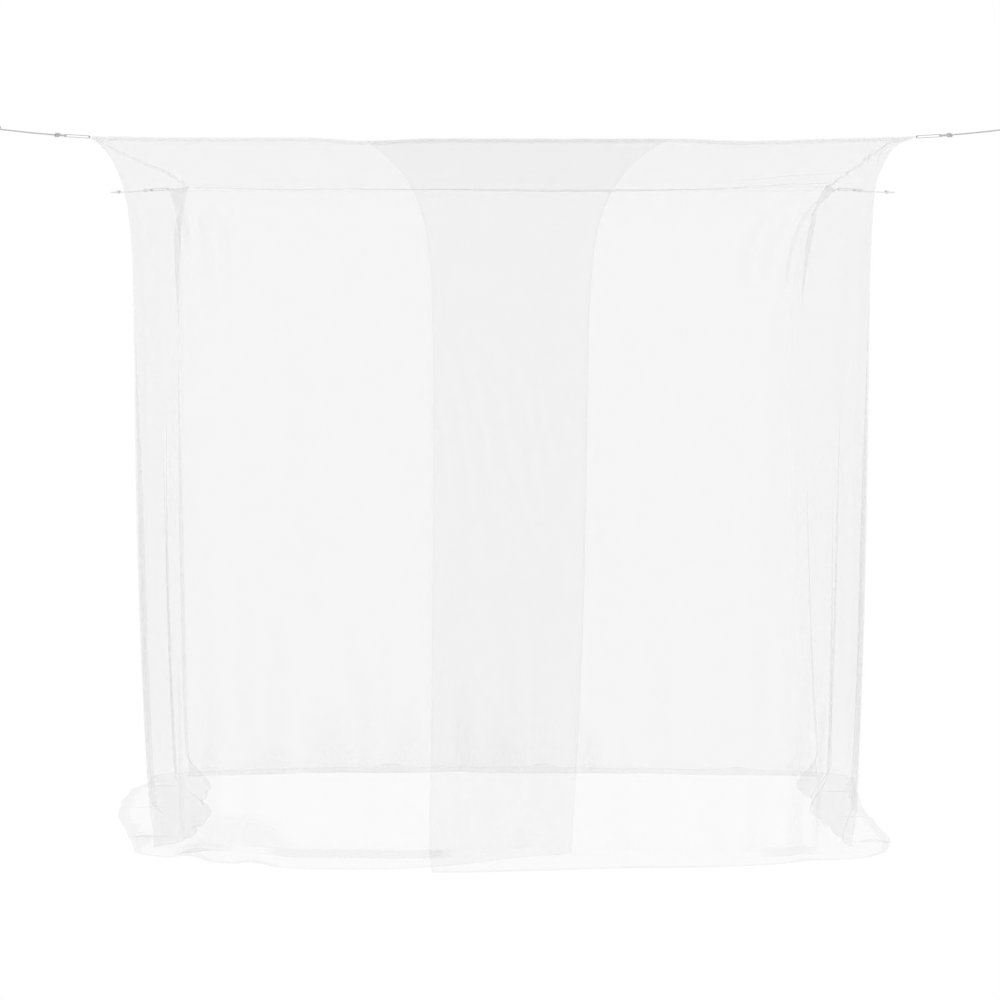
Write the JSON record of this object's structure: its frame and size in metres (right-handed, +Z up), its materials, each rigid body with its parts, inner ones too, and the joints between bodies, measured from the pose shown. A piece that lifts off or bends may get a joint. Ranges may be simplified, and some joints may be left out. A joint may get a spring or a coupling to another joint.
{
  "type": "hanging bed mosquito net",
  "caption": "Rectangular bed net hung by cords from its roof corners, with overlapping front curtains and hems that lie on the floor.",
  "frame": {"origin": "on the floor, at the middle of the space that the net takes up without its ties", "axes": "+Z up, -Y towards the entry side with the two curtains, +X to the right of somebody who looks at that side"},
  "size_m": [2.7026, 2.4899, 1.931],
  "materials": {
    "net": "sheer white polyester net",
    "tape": "matte woven tape",
    "cord": "matte braided cord"
  },
  "bodies": {
    "root": {"roof": "net", "back_wall": "net", "left_wall": "net", "right_wall": "net", "front_left_curtain": "net", "front_right_curtain": "net", "front_binding": "tape", "right_binding": "tape", "back_binding": "tape", "left_binding": "tape", "front_left_loop": "tape", "front_right_loop": "tape", "back_right_loop": "tape", "back_left_loop": "tape", "front_left_tie": "cord", "front_right_tie": "cord", "back_right_tie": "cord", "back_left_tie": "cord"}
  },
  "joints": []
}
